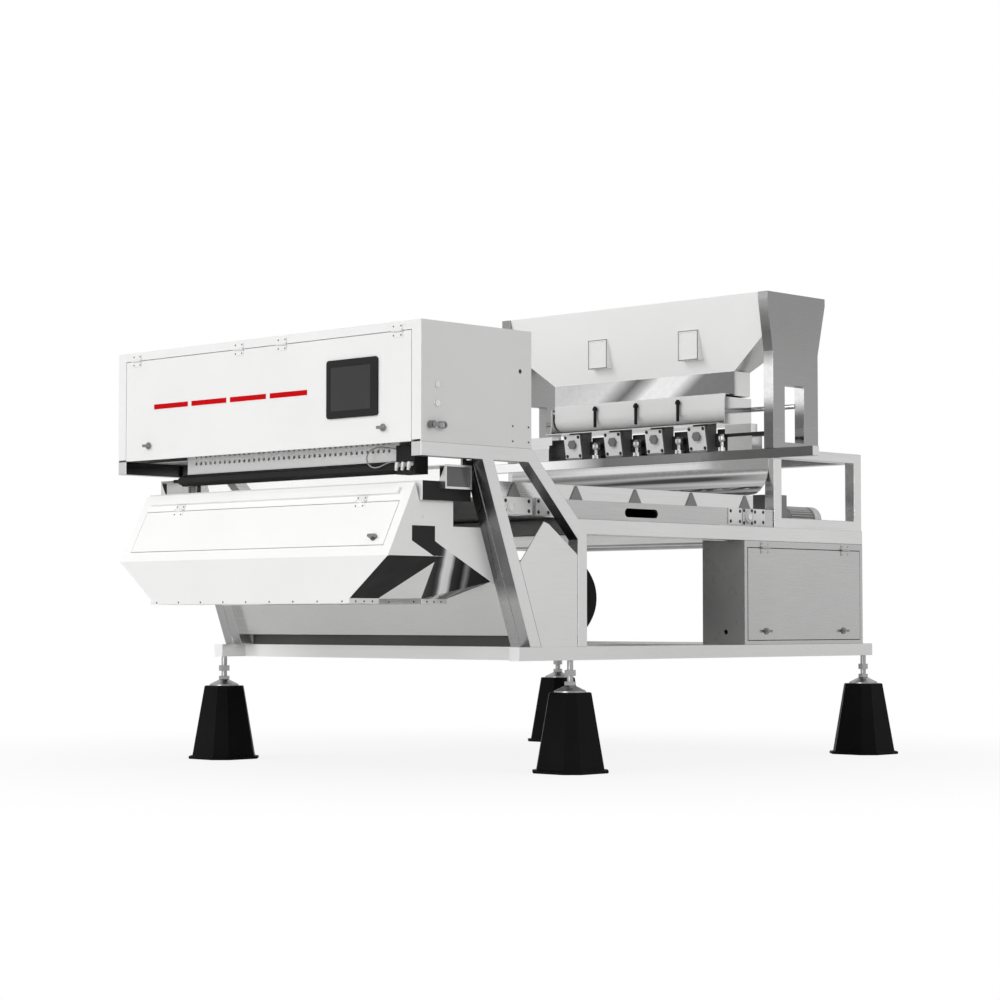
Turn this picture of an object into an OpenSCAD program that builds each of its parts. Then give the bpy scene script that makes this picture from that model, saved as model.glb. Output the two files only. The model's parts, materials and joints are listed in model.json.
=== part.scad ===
// Optical colour sorter with a belt conveyor, a vibrating feeder and a two-outlet discharge hood.
// Millimetres, Z up from the floor, X across the machine, the front of the head faces -Y.

/* [Head] */
// width of the head, the side frames and the base
head_w = 2000; // [1800:10:2200]
// depth of the head box
head_d = 652; // [600:2:720]
// height of the head box above its frame rail
head_h = 498; // [460:2:560]
// sheet thickness of the head, the cabinet and the panels
sheet = 4; // [3:0.5:6]
// front frame strip beside the door
door_side = 55; // [45:1:70]
// front frame strip above the door
door_top = 38; // [32:1:50]
// depth of the door pans
pan_t = 18; // [14:1:26]
// sheet thickness of the door pans
skin = 3; // [2:0.5:4]
// open gap round the doors
door_gap = 3; // [2:0.5:5]
// width of the touch screen bezel
screen_w = 313; // [260:1:360]
// height of the touch screen bezel
screen_h = 246; // [200:1:280]
// length of one coloured bar on the door
bar_l = 240; // [180:1:260]
// height of one coloured bar
bar_h = 22; // [14:1:30]

/* [Frame] */
// side of the square frame tubes
tube = 58; // [50:1:66]
// height of the leg from the base to the head rail
leg_h = 782; // [740:2:820]
// front of the leg at its top, behind the head front
leg_top_y = 356; // [330:1:380]
// front of the leg at its foot, behind the head front
leg_foot_y = 646; // [620:1:670]
// front of the upright post, behind the head front
post_y = 946; // [920:1:970]
// height of the post from the base to the mid beam
post_h = 486; // [470:1:500]
// height of the mid beam
mid_h = 66; // [58:1:72]
// front end of the base rails, behind the head front
base_y0 = 577; // [560:1:590]
// length of the base rails
base_l = 2531; // [2500:1:2560]

/* [Feet] */
// height of the pedestals
pedestal_h = 346; // [250:2:420]
// width of a pedestal at its top
pedestal_top = 160; // [150:1:180]
// width of a pedestal at its foot
pedestal_foot = 262; // [220:1:300]
// height from the pedestal to the base rail
foot_h = 138; // [120:1:160]
// levelling stud diameter
stud_d = 26; // [20:1:30]
// diameter of the foot cone
cone_d = 138; // [110:1:145]

/* [Conveyor] */
// clear space from the frame side to the conveyor side
conveyor_inset = 120; // [118:1:140]
// drum diameter
drum_d = 80; // [70:1:84]
// belt thickness
belt_t = 4; // [3:0.5:5]
// height of the skirts above the conveyor side
skirt_h = 63; // [40:1:80]
// drum shaft diameter
shaft_d = 30; // [20:1:36]

/* [Feeder] */
// side of the feeder beam
beam_t = 48; // [40:1:54]
// reach of the feeder beam past the head width
beam_over = 117; // [60:1:160]
// spacing of the vibrators
vib_pitch = 276; // [250:1:280]
// height of the hopper ends above the feeder beam
hopper_h = 755; // [700:5:800]
// thickness of the hopper ends
hopper_end_t = 57; // [50:1:60]
// sheet thickness of the hopper and the chutes
chute_t = 4; // [3:0.5:5]

/* [Hood] */
// width taken in from the hood to the outlets, each side
outlet_in = 230; // [180:1:260]
// length of the front outlet
front_outlet = 162; // [140:1:180]
// length of the rear outlet
rear_outlet = 150; // [130:1:170]

/* [Cabinet] */
// depth of the cabinet across the machine
cabinet_d = 253; // [220:1:300]
// length of the cabinet
cabinet_l = 931; // [900:1:960]

/* [Hidden] */
$fn = 48;
gap = 0.3;
fit = 0.05;
half = head_w / 2;
base_z = pedestal_h + foot_h;
base_top = base_z + tube;
rail_z = base_top + leg_h;
rail_top = rail_z + tube;
head_top = rail_top + head_h;
mid_z = base_top + post_h;
mid_top = mid_z + mid_h;
leg_w = 68;
leg_run = (leg_foot_y - leg_top_y) / leg_h;
inner = half - 2 * tube;
base_y1 = base_y0 + base_l;
mid_end = base_y1 - 77;
cabinet_y1 = mid_end;
cabinet_y0 = cabinet_y1 - cabinet_l;
cabinet_x0 = half - cabinet_d;
tank_y = post_y + 98;
tank_r = 170;
tank_z = base_top + 212;
tank_half = half - 100;
base_beams = [base_y0 + 142, tank_y - 126, tank_y + 40, cabinet_y0, base_y1 - tube];
feet_xy = [[-1, base_y0 + 36], [1, post_y - 20], [-1, base_y1 - 149], [1, base_y1 - 37]];
foot_x = half - tube / 2;
nut_t = 26;
nut_z = base_z - 68;
nut_af = 44;
// rear box
rear_y0 = mid_end - 554;
rear_y1 = rear_y0 + 710;
// conveyor
conv = half - conveyor_inset;
plate_t = 12;
conv_y0 = 566;
conv_y1 = rear_y0 - 7;
conv_z = mid_top;
conv_top = conv_z + 90;
foot_gap = 8;
drum_z = conv_z + 51;
front_drum_y = conv_y0 + 84;
tail_drum_y = conv_y1 - 198;
drum_r = drum_d / 2;
belt_in = drum_r + 0.2;
belt_out = belt_in + belt_t;
belt_half = conv - 80;
skirt_y1 = conv_y1 - 152;
bracket_y0 = conv_y0 + 102;
bracket_pitch = (conv_y1 - conv_y0 - 319) / 4;
// feeder and hopper
rear_half = half - 116;
rear_in = rear_half - hopper_end_t;
beam_z = mid_top + 342;
beam_top = beam_z + beam_t;
hop_z = beam_top + hopper_h;
neck_half = rear_half - 286;
neck_y0 = rear_y0 + 57;
neck_y1 = rear_y0 + 181;
neck_z = beam_top + 273;
neck_top = neck_z + 120;
tray_half = neck_half - 18;
tray_z = beam_top + 133;
tray_y0 = rear_y0 - 37;
tray_y1 = neck_y1 + 32;
gate_y = rear_y0 + 23;
gate_half = tray_half - chute_t - 8;
gate_z = tray_z + 22;
gate_top = gate_z + 130;
gate_r = 60;
// hood
hood_half = inner;
hood_y0 = -74;
hood_top_y = 78;
hood_top_z = rail_z - 101;
knee_z = rail_z - 403;
hood_a = atan2(hood_top_y - hood_y0, hood_top_z - knee_z);
hood_l = (hood_top_z - knee_z) / cos(hood_a);
lip_z = knee_z - 175;
band_h = 22;
out_half = hood_half - outlet_in;
front_out_y1 = hood_y0 + front_outlet;
rear_out_y0 = 337;
rear_out_y1 = rear_out_y0 + rear_outlet;
split_z = knee_z + 124;
hatch_half = hood_half - 53;
hatch_z0 = -hood_l + 49;
hatch_z1 = -84;
seam = 0.6;
seam_w = 2.5;
// head pieces
door_half = half - door_side - door_gap;
door_z0 = rail_top + 2;
door_z1 = head_top - door_top - door_gap;
hinge_z = head_top - door_top;
screen_x = half - 409;
stripe_x = -half + 264;
stripe_pitch = bar_l + 27;
screen_z = rail_top + 241;
plate_half = half - 300;
led_half = plate_half - 50;
camera_x = plate_half - 220;
camera_y = 380;
scan_w = 100;
plate_y = 166;
eject_af = 52;
eject_z = rail_z - 31;
eject_y = plate_y + 2;
eject_half = plate_half + 28;
lamp_half = half - 100;
lamp_y0 = 106;
lamp_z0 = rail_z - 173;
lamp_z1 = lamp_z0 + 80;
lamp_y1 = leg_y(lamp_z1) - seam_w;
housing_y0 = 200;
housing_y1 = 356;
housing_z = rail_z - 24;
button_y = 90;
button_z = rail_top + 237;
button_r = 13;
button_pitch = 78;
lever_y = 50;
lever_z = rail_top + 70;
latch_r = 8;
latch_x = half - 224;
latch_z = rail_top + 66;
cab_door_y0 = cabinet_y0 + 25;
cab_door_y1 = cabinet_y1 - 25;
cab_door_z0 = base_top + 22;
cab_door_z1 = mid_z - 32;
cab_latch_z = base_top + 63;
rim = 13;
back_most = max(rear_y1, feet_xy[3][1] + pedestal_foot / 2 + rim);
y_mid = (back_most + hood_y0 - 2) / 2;

// Helpers.

// moves the machine so that its box is centred on the origin
module place() translate([0, -y_mid, 0]) children();

// a block from its two corners
module block(x0, x1, y0, y1, z0, z1) translate([x0, y0, z0]) cube([x1 - x0, y1 - y0, z1 - z0]);

// a side outline, drawn in Y and Z, made solid from x0 to x1
module side(x0, x1) translate([x0, 0, 0]) rotate([90, 0, 90]) linear_extrude(x1 - x0) children();

// the same outline on the right and on the left of the machine
module both(a, b) {
  side(a, b) children();
  side(-b, -a) children();
}

// a flat rectangle by its corners
module rect(y0, y1, z0, z1) translate([y0, z0]) square([y1 - y0, z1 - z0]);

// a round bar along X
module bar_x(x0, x1, y, z, r) translate([x0, y, z]) rotate([0, 90, 0]) cylinder(r = r, h = x1 - x0);

// a rectangle with round corners, made solid towards -Y from y = 0
module soft_plate(w, h, r, t) rotate([90, 0, 0]) linear_extrude(t) {
  square([w - 2 * r, h], center = true);
  square([w, h - 2 * r], center = true);
  for (x = [-1, 1], z = [-1, 1]) translate([x * (w / 2 - r), z * (h / 2 - r)]) circle(r);
}

// a straight slot or loop in the side outline
module slot(y0, y1, z, r) {
  rect(y0, y1, z - r, z + r);
  translate([y0, z]) circle(r);
  translate([y1, z]) circle(r);
}

// the frame of the sloping hood wall: z runs up the wall, y goes inwards
module on_hood() translate([0, hood_top_y, hood_top_z]) rotate([-hood_a, 0, 0]) children();

function leg_y(z) = leg_top_y + (rail_z - z) * leg_run;

// Hinges and latches.

hinge_l = 60;
knuckle_r = 6;
hinge_pin_r = 2.5;
knuckle_l = 21;

// the half that stays: two end knuckles, the pin and a leaf that points up
module hinge_fixed() {
  difference() {
    union() {
      bar_x(-hinge_l / 2, hinge_l / 2, 0, 0, knuckle_r);
      block(-hinge_l / 2, hinge_l / 2, knuckle_r - 3, knuckle_r, 0, 26);
    }
    block(-knuckle_l / 2 - gap, knuckle_l / 2 + gap, -9, 9, -9, knuckle_r + gap);
  }
  bar_x(-hinge_l / 2, hinge_l / 2, 0, 0, hinge_pin_r);
}

// the half that turns: the middle knuckle and a leaf that points down
module hinge_moving() {
  difference() {
    union() {
      bar_x(-knuckle_l / 2, knuckle_l / 2, 0, 0, knuckle_r);
      block(-knuckle_l / 2, knuckle_l / 2, knuckle_r - 3, knuckle_r, -10, 0);
    }
    bar_x(-40, 40, 0, 0, hinge_pin_r + fit);
  }
  block(-hinge_l / 2, hinge_l / 2, knuckle_r - 3, knuckle_r, -28, -knuckle_r - 1);
}

head_hinge_x = [138 - half, -143, 143, half - 138];
hood_hinge_x = [284 - hood_half, hood_half - 284];
cab_hinge_y = [cabinet_y0 + 150, cabinet_y1 - 150];

module at_head_hinges() for (x = head_hinge_x) translate([x, -knuckle_r, hinge_z]) children();
module at_hood_hinges() on_hood() for (x = hood_hinge_x) translate([x, -knuckle_r, hatch_z1]) children();
module at_cab_hinges()
  for (y = cab_hinge_y) translate([half + knuckle_r, y, cab_door_z1]) rotate([0, 0, 90]) children();

// a quarter-turn latch: wing and collar outside, cam behind the skin
module latch() {
  rotate([90, 0, 0]) cylinder(r = 16, h = 4.3);
  block(-20, 20, -22, -4, -6, 6);
  rotate([-90, 0, 0]) cylinder(r = latch_r, h = 11);
  block(-8, 34, 7, 11, -7, 7);
}

module latch_cut() rotate([90, 0, 0]) translate([0, 0, -8]) cylinder(r = latch_r + fit, h = 16);

module set_back() translate([0, -gap, 0]) children();

// Frame.

module base_frame() color("gainsboro") place() difference() {
  union() {
    for (x = [-half, half - tube]) block(x, x + tube, base_y0, base_y1, base_z, base_top);
    for (y = base_beams) block(-half + 5, half - 5, y, y + tube, base_z, base_top);
  }
  for (p = feet_xy) translate([p[0] * foot_x, p[1], base_z - 1]) cylinder(d = stud_d + 2 * gap, h = 41);
}

module leg_outline() polygon([[leg_y(rail_z + 2), rail_z + 2], [leg_y(rail_z + 2) + leg_w, rail_z + 2],
  [leg_foot_y + leg_w, base_top], [leg_foot_y, base_top]]);

module side_outline() {
  rect(0, head_d, rail_z, rail_top);
  leg_outline();
  polygon([[head_d - 18, rail_z], [head_d, rail_top], [post_y + 2, mid_top], [post_y + 2, mid_z - 26]]);
  rect(post_y, post_y + tube, base_top, mid_top);
  rect(post_y, mid_end, mid_z, mid_top);
}

module leg_groove(x) side(x - 2, x + 2) polygon([[leg_y(rail_z - 1) - 1, rail_z - 1],
  [leg_y(rail_z - 1) + 6, rail_z - 1], [leg_foot_y + 6, base_top - 1], [leg_foot_y - 1, base_top - 1]]);

module inner_leg(x0, x1) side(x0, x1) intersection() {
  leg_outline();
  rect(0, 2000, base_top, rail_z);
}

module right_side_frame() color("gainsboro") place() difference() {
  union() {
    side(half - tube, half) side_outline();
    inner_leg(inner, half - tube + 1);
  }
  leg_groove(half - tube);
}

module left_side_frame() color("gainsboro") place() difference() {
  union() {
    side(-half, -half + tube) {
      side_outline();
      rect(mid_end - tube, mid_end, base_top, mid_z + 2);
    }
    inner_leg(-half + tube - 1, -inner);
  }
  leg_groove(-half + tube);
}

cross_y = [post_y, post_y + 554, cabinet_y0 - 40, rear_y0 + 2, mid_end - tube];

module cross_beams() color("silver") place()
  for (y = cross_y) block(-half + tube, half - tube, y, y + tube, mid_z, mid_top);

module belt_pan() color("dimgray") place()
  block(-half + tube + 2, half - tube - 2, post_y + 4, cabinet_y0 - 2, mid_z - sheet, mid_z);

module rear_outline() {
  rect(rear_y0, rear_y1, mid_top, mid_top + 54);
  rect(rear_y0, rear_y0 + 60, mid_top, beam_z);
  rect(rear_y1 - 60, rear_y1, mid_top, beam_top);
  rect(rear_y0 + beam_t, rear_y1, beam_z, beam_top);
  rect(rear_y0 + beam_t, rear_y0 + 60, beam_z - 5, beam_z + 5);
}

module rear_frame() color("gainsboro") place() {
  both(rear_in, rear_half) rear_outline();
  block(-rear_in - 2, rear_in + 2, rear_y1 - 60, rear_y1, beam_z, beam_top);
  block(-rear_in - 2, rear_in + 2, rear_y1 - 60, rear_y1, mid_top, mid_top + 54);
}

module feeder_beam() color("gainsboro") place()
  block(-half - beam_over, half + beam_over, rear_y0, rear_y0 + beam_t, beam_z, beam_top);

module side_panels() color("whitesmoke") place() both(half - sheet - 2, half - 2)
  polygon([[leg_foot_y + leg_w + seam_w, base_top + gap], [leg_y(mid_z - 129) + leg_w + seam_w, mid_z - 129],
    [post_y - 214, mid_z + 47], [post_y - 184, mid_z + 38], [post_y - seam_w, mid_z - 89],
    [post_y - seam_w, base_top + gap]]);

module back_strip(z0, z1) polygon([[leg_y(z1) + 34, z1], [leg_y(z1) + 38, z1], [leg_y(z0) + 38, z0],
  [leg_y(z0) + 34, z0]]);

module back_plate() color("silver") place() {
  side(-inner, inner) back_strip(base_top + 48, base_top + 213);
  side(-inner + 8, inner - 8) back_strip(base_top + 212, base_top + 330);
}

module drip_pan() color("dimgray") place() difference() {
  block(-inner + 2, inner - 2, leg_foot_y + 72, tank_y - 172, base_top, base_top + 46);
  block(-inner + 5, inner - 5, leg_foot_y + 75, tank_y - 175, base_top + 3, base_top + 50);
}

// Feet.

module chamfer_square(w, c) polygon([[-w / 2 + c, -w / 2], [w / 2 - c, -w / 2], [w / 2, -w / 2 + c],
  [w / 2, w / 2 - c], [w / 2 - c, w / 2], [-w / 2 + c, w / 2], [-w / 2, w / 2 - c], [-w / 2, -w / 2 + c]]);

module pedestals() color("black") place() for (p = feet_xy) translate([p[0] * foot_x, p[1], 0]) {
  linear_extrude(pedestal_h, scale = pedestal_top / pedestal_foot)
    chamfer_square(pedestal_foot, pedestal_foot * 0.2);
  linear_extrude(14) chamfer_square(pedestal_foot + 2 * rim, pedestal_foot * 0.22);
}

module foot(k) color("lightgray") place() translate([feet_xy[k][0] * foot_x, feet_xy[k][1], pedestal_h]) {
  rotate_extrude() polygon([[0, 0], [cone_d / 2, 0], [cone_d / 2, 6], [stud_d / 2 + 8, 30], [stud_d / 2, 31],
    [stud_d / 2, foot_h + 36], [stud_d / 2 - 3, foot_h + 39], [0, foot_h + 39]]);
  translate([0, 0, 30]) cylinder(d = nut_af / cos(30), h = 16, $fn = 6);
}

module foot_front_left() foot(0);
module foot_front_right() foot(1);
module foot_rear_left() foot(2);
module foot_rear_right() foot(3);

module lock_nuts() color("lightgray") place() for (p = feet_xy)
  translate([p[0] * foot_x, p[1], nut_z]) difference() {
    cylinder(d = nut_af / cos(30), h = nut_t, $fn = 6);
    translate([0, 0, -1]) cylinder(d = stud_d + 2 * gap, h = nut_t + 2);
  }

// Air tank.

module tank_profile(r, h) polygon([[0, -h], [r * 0.6, -h + 5], [r * 0.88, -h + 14], [r, -h + 36],
  [r, h - 36], [r * 0.88, h - 14], [r * 0.6, h - 5], [0, h]]);

module air_tank() color("black") place() difference() {
  union() {
    translate([0, tank_y, tank_z]) rotate([0, 90, 0]) rotate_extrude() tank_profile(tank_r, tank_half);
    for (x = [400 - tank_half, tank_half - 400])
      block(x - 30, x + 30, base_beams[1], base_beams[2] + tube, base_top, tank_z - 110);
    translate([0, tank_y, tank_z - tank_r - 14]) cylinder(r = 22, h = 40);
  }
  translate([0, tank_y, tank_z]) rotate([0, 90, 0]) rotate_extrude() tank_profile(tank_r - 6, tank_half - 6);
  translate([0, tank_y, tank_z - tank_r - 20]) cylinder(r = 12, h = 60);
}

// Head.

module head_shell() color("whitesmoke") place() difference() {
  union() {
    difference() {
      block(-half, half, 0, head_d, rail_top, head_top);
      block(-half + sheet, half - sheet, sheet, head_d - sheet, rail_top + sheet, head_top - sheet);
      block(-half + sheet, half - sheet, -1, plate_y + sheet, rail_top - 1, rail_top + 2 * sheet);
      block(-half + door_side, half - door_side, -1, sheet + 1, rail_top - 1, head_top - door_top);
      block(-led_half, led_half, camera_y - scan_w / 2, camera_y + scan_w / 2,
        rail_top - 1, rail_top + sheet + 1);
    }
    for (z = [button_z, button_z - button_pitch]) bar_x(half - 1, half + 3, button_y, z, button_r + 5);
  }
  for (z = [button_z, button_z - button_pitch])
    bar_x(half - sheet - 1, half + 5, button_y, z, button_r + gap);
  bar_x(half - sheet - 1, half + 1, lever_y, lever_z, 6 + fit);
  bar_x(half - sheet - 1, half + 1, 584, rail_top + 324, 10);
}

module hinge_leaves() color("silver") place() {
  at_head_hinges() hinge_fixed();
  at_hood_hinges() hinge_fixed();
  at_cab_hinges() hinge_fixed();
}

module head_door() color("white") place() {
  difference() {
    block(-door_half, door_half, 0, pan_t, door_z0, door_z1);
    block(-door_half + skin, door_half - skin, skin, pan_t + 1, door_z0 + skin, door_z1 - skin);
    for (x = [-latch_x, latch_x]) translate([x, 0, latch_z]) latch_cut();
  }
  at_head_hinges() hinge_moving();
}

module touch_screen() color("silver") place() translate([screen_x, 0, screen_z]) difference() {
  soft_plate(screen_w, screen_h, 14, 8);
  translate([-8, -5, 0]) soft_plate(screen_w - 66, screen_h - 60, 4, 10);
}

module stripe_bars() color("firebrick") place()
  for (k = [0:3]) translate([stripe_x + k * stripe_pitch, -2, screen_z - bar_h / 2]) cube([bar_l, 2, bar_h]);

module head_latch_left() color("silver") place() translate([-latch_x, 0, latch_z]) set_back() latch();
module head_latch_right() color("silver") place() translate([latch_x, 0, latch_z]) set_back() latch();

module push_button(z) {
  bar_x(half - sheet - 6, half + 6, button_y, z, button_r);
  bar_x(half - sheet - 6, half - sheet - gap, button_y, z, button_r + 4);
}

module start_button() color("green") place() push_button(button_z);
module stop_button() color("firebrick") place() push_button(button_z - button_pitch);

module side_lever() color("silver") place() {
  bar_x(half + gap, half + 26, lever_y, lever_z, 16);
  bar_x(half + 25, half + 30, lever_y, lever_z, 12);
  bar_x(half - sheet - 8, half + 1, lever_y, lever_z, 6);
  bar_x(half - sheet - 8, half - sheet - gap, lever_y, lever_z, 11);
  side(half + 10, half + 20) difference() {
    union() {
      slot(lever_y + 46, lever_y + 66, lever_z, 15);
      rect(lever_y, lever_y + 40, lever_z - 7, lever_z + 7);
    }
    slot(lever_y + 46, lever_y + 66, lever_z, 9);
  }
}

hole_pitch = (2 * plate_half - 124) / 38;

module perforated_plate() color("white") place() difference() {
  block(-plate_half, plate_half, plate_y, plate_y + sheet, eject_z + eject_af / 2, rail_top + 120);
  for (k = [0:38], z = [rail_top - 15, rail_top + 18]) translate([-plate_half + 62 + k * hole_pitch, 0, z])
    rotate([-90, 0, 0]) cylinder(d = 16, h = 400);
}

module ejector_bar() color("black") place() translate([0, eject_y, eject_z]) rotate([0, 90, 0]) {
  translate([0, 0, -eject_half]) rotate(22.5) cylinder(d = eject_af / cos(22.5), h = 2 * eject_half, $fn = 8);
  translate([0, 0, -eject_half - 24]) rotate(22.5) cylinder(d = 34 / cos(22.5), h = 30, $fn = 8);
  translate([0, 0, -eject_half - 70]) cylinder(d = 16, h = 60);
}

module valve_block() color("black") place()
  block(eject_half, eject_half + 112, eject_y - 48, housing_y0 - 4, eject_z - 32, rail_top);

module lamp_box() color("black") place() {
  difference() {
    block(-lamp_half, lamp_half, lamp_y0, lamp_y1, lamp_z0, lamp_z1);
    block(-lamp_half + sheet, lamp_half - sheet, lamp_y0 + sheet, lamp_y1 - sheet,
      lamp_z0 + sheet, lamp_z1 - sheet);
    block(-belt_half, belt_half, lamp_y0 + 120, lamp_y1 - 90, lamp_z0 - 1, lamp_z1 + 1);
  }
  for (x = [-inner + 4, inner - 16]) block(x, x + 12, housing_y1 + 4, lamp_y1 - 4, lamp_z1 - 1, rail_top);
}

housing_x = lamp_half + 38;
housing_drop = lamp_z1 - 32;

// the glazed light housing: a long box on the lamp box, with a framed window at each end
module lamp_glass() color("lightgray") place() difference() {
  union() {
    block(-housing_x, housing_x, housing_y0, housing_y1, lamp_z1 + gap, housing_z);
    for (x = [-housing_x, lamp_half + gap])
      block(x, x + housing_x - lamp_half - gap, housing_y0, housing_y1, housing_drop, housing_z);
  }
  block(-lamp_half, lamp_half, housing_y0 + 6, housing_y1 - 6, lamp_z1 - 9, housing_z - 6);
  for (x = [-housing_x - 1, housing_x - 7])
    block(x, x + 8, housing_y0 + 9, housing_y1 - 9, housing_drop + 9, housing_z - 9);
}

module cameras() color("dimgray") place() for (x = [-camera_x, 0, camera_x]) translate([x, camera_y, 0]) {
  block(-45, 45, -40, 40, rail_top + 160, rail_top + 320);
  block(-30, 30, -8, 8, rail_top + 300, head_top - sheet);
  translate([0, 0, rail_top + 104]) cylinder(r = 26, h = 60);
}

module led_bars() color("white") place() for (y = [camera_y - 110, camera_y + 70])
  block(-led_half, led_half, y, y + 40, rail_top + sheet, rail_top + sheet + 40);

// Discharge hood.

module ring_band(xh, y0, y1, z0, z1, t) difference() {
  block(-xh - 2, xh + 2, y0 - 2, y1 + 2, z0, z1);
  block(-xh + t, xh - t, y0 + t, y1 - t, z0 - 1, z1 + 1);
}

module front_funnel(t, e) hull() {
  block(-hood_half + t, hood_half - t, hood_y0 + t, 240 - t, knee_z - 1 + e, knee_z + e);
  block(-out_half + t, out_half - t, hood_y0 + t, front_out_y1 - t, lip_z - e, lip_z + 1 - e);
}

module front_chute() color("white") place() {
  difference() {
    front_funnel(0, 0);
    front_funnel(chute_t, 0.6);
  }
  ring_band(out_half, hood_y0, front_out_y1, lip_z + 1 - band_h, lip_z + 1, chute_t);
  difference() {
    on_hood() {
      block(-hood_half, hood_half, seam, chute_t + seam, -hood_l - 2, 0);
      block(-hood_half + 68, hood_half - 68, -12, 2, -54, -26);
    }
    on_hood() block(-hatch_half - door_gap, hatch_half + door_gap, -1, chute_t + 2,
      hatch_z0 - door_gap, hatch_z1 + 0.5);
  }
  both(hood_half - chute_t - seam, hood_half - seam)
    polygon([[hood_y0 + 2, knee_z - 0.5], [188, knee_z - 0.5],
    [62, knee_z + 61.5], [62, split_z], [300, split_z], [300, lamp_z0], [lamp_y0 - 3, lamp_z0],
    [hood_top_y + 2, hood_top_z - 1]]);
}

module rear_funnel(t, e) hull() {
  side(-hood_half + t, hood_half - t)
    polygon([[226 + 1.5 * t, knee_z + 46 + e], [526 - 1.5 * t, knee_z - 101 + e],
    [526 - 1.5 * t, knee_z - 102 + e], [226 + 1.5 * t, knee_z + 45 + e]]);
  block(-out_half + t, out_half - t, rear_out_y0 + t, rear_out_y1 - t, lip_z - e / 4, lip_z + 1 - e / 4);
}

module rear_chute() color("silver") place() {
  difference() {
    rear_funnel(0, 0);
    rear_funnel(chute_t, 3);
  }
  ring_band(out_half, rear_out_y0, rear_out_y1, lip_z + 1 - band_h, lip_z + 1, chute_t);
  both(hood_half - chute_t, hood_half) polygon([[194, split_z], [514, split_z], [620, knee_z - 148],
    [526, knee_z - 103], [226, knee_z + 45], [194, knee_z + 62]]);
  side(-hood_half + 1, hood_half - 1) polygon([[510, split_z], [514, split_z], [527, knee_z - 103],
    [522, knee_z - 103]]);
}

module divider_outline() polygon([[62, split_z], [194, split_z], [194, knee_z + 62], [226, knee_z + 45],
  [236, knee_z + 25], [200, knee_z], [188, knee_z], [62, knee_z + 62]]);

module chute_divider() color("black") place() difference() {
  side(-hood_half, hood_half) divider_outline();
  side(-hood_half + chute_t, hood_half - chute_t) {
    offset(delta = -chute_t) divider_outline();
    rect(190, 198, knee_z - 1, knee_z + 14);
  }
}

module hood_door() color("white") place() on_hood() {
  difference() {
    block(-hatch_half, hatch_half, 0, chute_t, hatch_z0, hatch_z1 - door_gap);
    translate([hatch_half - 70, 0, hatch_z0 + 34]) latch_cut();
  }
  for (x = hood_hinge_x) translate([x, -knuckle_r, hatch_z1]) hinge_moving();
}

module hood_latch() color("silver") place() on_hood()
  translate([hatch_half - 70, -gap, hatch_z0 + 34]) rotate([0, 180, 0]) latch();

// Conveyor.

module conveyor_frame() color("whitesmoke") place() {
  both(conv - plate_t, conv) for (k = [0:2])
    rect(cross_y[k], cross_y[k] + tube, conv_z, conv_z + foot_gap + 1);
  both(conv - plate_t, conv) difference() {
    rect(conv_y0, conv_y1, conv_z + foot_gap, conv_top);
    for (y = [front_drum_y, tail_drum_y]) translate([y, drum_z]) circle(shaft_d / 2 + 5);
    slot(conv_y0 + 846, conv_y0 + 1034, conv_z + 44, 20);
  }
  block(-conv + plate_t - 1, conv - plate_t + 1, front_drum_y + 75, tail_drum_y - 75,
    drum_z + belt_in - 9, drum_z + belt_in - 1);
}

module belt_skirts() color("whitesmoke") place() both(conv - 6, conv)
  rect(conv_y0, skirt_y1, conv_top, conv_top + skirt_h);

module skirt_brackets() color("dimgray") place() both(conv, conv + 5)
  for (k = [0:4]) translate([bracket_y0 + k * bracket_pitch, conv_top - 2])
    polygon([[-40, 2], [40, 2], [3, skirt_h], [-3, skirt_h]]);

module loop_outline(r) {
  translate([front_drum_y, drum_z]) circle(r);
  translate([tail_drum_y, drum_z]) circle(r);
  rect(front_drum_y, tail_drum_y, drum_z - r, drum_z + r);
}

module conveyor_belt() color("dimgray") place() side(-belt_half, belt_half) difference() {
  loop_outline(belt_out);
  loop_outline(belt_in);
}

module drum(y, out) {
  bar_x(-belt_half + 5, belt_half - 5, y, drum_z, drum_r);
  bar_x(-conv - out, conv + out, y, drum_z, shaft_d / 2);
}

module front_drum() color("silver") place() drum(front_drum_y, 9);
module tail_drum() color("silver") place() drum(tail_drum_y, 20);

// a bearing plate on the outside of the conveyor side, from y0 to y1 about its drum
module bearing(y, y0, y1, boss) difference() {
  union() {
    side(conv, conv + 7) rect(y + y0, y + y1, drum_z - 37, drum_z + 37);
    bar_x(conv, conv + boss, y, drum_z, shaft_d / 2 + 12);
  }
  bar_x(conv - 1, conv + boss + 1, y, drum_z, shaft_d / 2 + fit);
}

// a plain plate that a belt tensioner is bolted to
module tension_plate(y0, y1) both(conv, conv + 5) rect(y0, y1, drum_z - 37, drum_z + 39);

module drum_bearings() color("gray") place() {
  for (m = [0, 1]) mirror([m, 0, 0]) {
    bearing(front_drum_y, -60, 128, 10);
    bearing(tail_drum_y, -41, 37, 16);
  }
  tension_plate(front_drum_y + 155, front_drum_y + 245);
  tension_plate(tail_drum_y - 144, tail_drum_y - 46);
  tension_plate(tail_drum_y + 40, tail_drum_y + 131);
}

motor_x = belt_half - 48;
guard_x = belt_half + 3;

module drive_motor() color("gray") place() difference() {
  union() {
    block(motor_x - 52, guard_x + 1, rear_y0 + 68, rear_y0 + 203, mid_top + 6, mid_top + 171);
    block(motor_x - 60, motor_x + 51, rear_y0 + 4, mid_end - 2, mid_top, mid_top + 7);
    translate([motor_x, rear_y0 + 200, mid_top + 60]) rotate([-90, 0, 0]) cylinder(r = 54, h = 276);
    side(guard_x, guard_x + 20) slot(tail_drum_y, rear_y0 + 135, drum_z, 46);
  }
  bar_x(guard_x - 1, guard_x + 30, tail_drum_y, drum_z, shaft_d / 2 + gap);
}

// Feeder and hopper.

chute_r = 148;

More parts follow.
